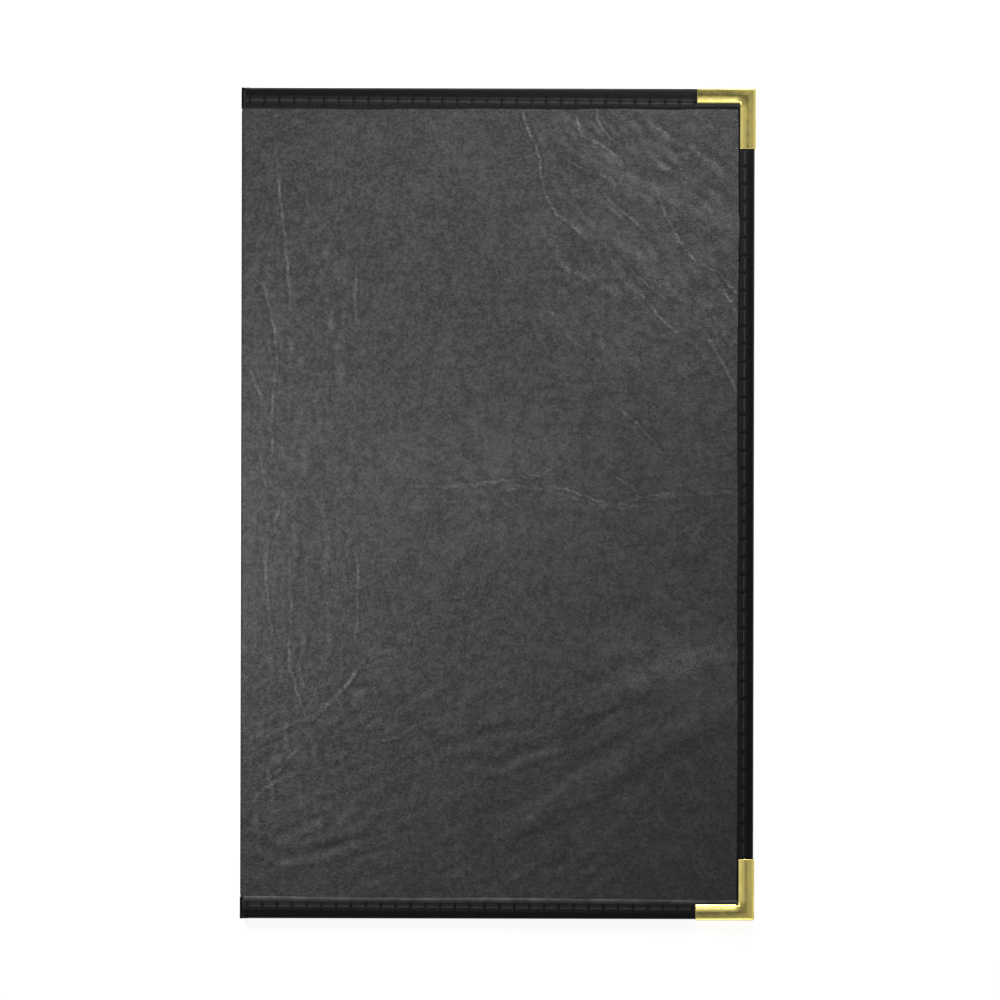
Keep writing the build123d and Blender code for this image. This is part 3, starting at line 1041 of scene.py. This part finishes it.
def makeFloor():
    half = stage["floorSize"] / 2
    mesh = bpy.data.meshes.new("floor")
    corners = [(-half, -half, 0), (half, -half, 0), (half, half, 0), (-half, half, 0)]
    mesh.from_pydata(corners, [], [(0, 1, 2, 3)])
    floor = bpy.data.objects.new("floor", mesh)
    bpy.context.scene.collection.objects.link(floor)
    floor.location.z = -0.0002
    material = bpy.data.materials.new("paleFloor")
    material.use_nodes = True
    tree = material.node_tree
    tree.nodes.clear()
    diffuse = tree.nodes.new("ShaderNodeBsdfDiffuse")
    diffuse.inputs["Color"].default_value = (stage["floorColour"],) * 3 + (1.0,)
    glow = tree.nodes.new("ShaderNodeEmission")
    rays = tree.nodes.new("ShaderNodeLightPath")
    seen = mathNode(tree, "MAXIMUM", rays.outputs["Is Camera Ray"], rays.outputs["Is Glossy Ray"])
    seen = mathNode(tree, "MAXIMUM", seen, rays.outputs["Is Transmission Ray"])
    tree.links.new(mathNode(tree, "MULTIPLY", seen, stage["floorGlow"]), glow.inputs["Strength"])
    both = tree.nodes.new("ShaderNodeAddShader")
    tree.links.new(diffuse.outputs[0], both.inputs[0])
    tree.links.new(glow.outputs[0], both.inputs[1])
    output = tree.nodes.new("ShaderNodeOutputMaterial")
    tree.links.new(both.outputs[0], output.inputs["Surface"])
    mesh.materials.append(material)
    floor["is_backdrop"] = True


def makeSurround():
    world = bpy.data.worlds.new("studio")
    bpy.context.scene.world = world
    world.use_nodes = True
    tree = world.node_tree
    tree.nodes.clear()
    rays = tree.nodes.new("ShaderNodeLightPath")
    direction = tree.nodes.new("ShaderNodeTexCoord").outputs["Generated"]
    parts = tree.nodes.new("ShaderNodeSeparateXYZ")
    tree.links.new(direction, parts.inputs[0])
    fromTop = mathNode(tree, "ARCCOSINE", mathNode(tree, "MINIMUM", parts.outputs["Z"], 1.0))
    dome = rampNode(tree, fromTop, stage["overheadEdge"], stage["aroundEdge"], stage["overhead"],
                    stage["around"])
    sideways = mathNode(tree, "ABSOLUTE", parts.outputs["Y"])
    bands = rampNode(tree, sideways, stage["bandStart"], stage["bandEnd"], 0.0, stage["bands"])
    nearTop = rampNode(tree, fromTop, stage["bandsLast"], stage["bandsOver"], 1.0, 0.0)
    dome = mathNode(tree, "ADD", dome, mathNode(tree, "MULTIPLY", bands, nearTop))
    strength = mathNode(tree, "MULTIPLY", rays.outputs["Is Glossy Ray"], dome)
    strength = mathNode(tree, "MAXIMUM", strength, rays.outputs["Is Camera Ray"])
    strength = mathNode(tree, "MAXIMUM", strength, rays.outputs["Is Transmission Ray"])
    fill = mathNode(tree, "MULTIPLY", rays.outputs["Is Diffuse Ray"], stage["fill"])
    strength = mathNode(tree, "MAXIMUM", strength, fill)
    background = tree.nodes.new("ShaderNodeBackground")
    tree.links.new(strength, background.inputs["Strength"])
    output = tree.nodes.new("ShaderNodeOutputWorld")
    tree.links.new(background.outputs[0], output.inputs["Surface"])


lamps = [
    # name, place, size, power in watts
    ("headLamp", (0.1, 0.40, 0.31), 0.16, 1.95),
    ("spineLamp", (-0.19, -0.02, 0.22), 0.1, 0.6),
]


def makeLamp(name, place, size, power):
    data = bpy.data.lights.new(name, "AREA")
    data.shape = "SQUARE"
    data.size = size
    data.energy = power
    lamp = bpy.data.objects.new(name, data)
    bpy.context.scene.collection.objects.link(lamp)
    lamp.location = place
    x, y, z = place
    away = math.hypot(x, y)
    lamp.rotation_euler = (0.0, math.atan2(away, z), math.atan2(y, x))


makeFloor()
makeSurround()
for lamp in lamps:
    makeLamp(*lamp)


# Camera: straight above the closed cover, with the photograph's framing

view = {
    "pixels": 1000,
    "millimetresPerPixel": 0.445,
    "coverCentre": (497.35, 503.5),     # where the cover's middle stands in the picture
    "distance": 2.2,
    "roll": 0.13,
    "sensor": 36.0,
}


def makeCamera():
    data = bpy.data.cameras.new("camera")
    camera = bpy.data.objects.new("camera", data)
    bpy.context.scene.collection.objects.link(camera)
    bpy.context.scene.camera = camera
    scale = view["millimetresPerPixel"] * mm
    spineFace = cornersOf("spine_head_tape")[0][0]
    middleX = (spineFace + foreEdge) / 2 * mm
    half = view["pixels"] / 2
    x = middleX + (half - view["coverCentre"][0]) * scale
    y = (view["coverCentre"][1] - half) * scale
    top = (closing + tapeHeight) * mm
    camera.location = (x, y, top + view["distance"])
    camera.rotation_euler = (0.0, 0.0, math.radians(view["roll"]))
    data.sensor_width = view["sensor"]
    data.lens = view["sensor"] * view["distance"] / (view["pixels"] * scale)
    data.clip_start = 0.05
    data.clip_end = 20.0


makeCamera()
bpy.context.scene.view_settings.view_transform = "Standard"
print("stage, lamps and camera placed")

boxes = {"cad": cadBounds, "visual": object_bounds()}
{name: [[float(v) for v in corner] for corner in box] for name, box in boxes.items()}
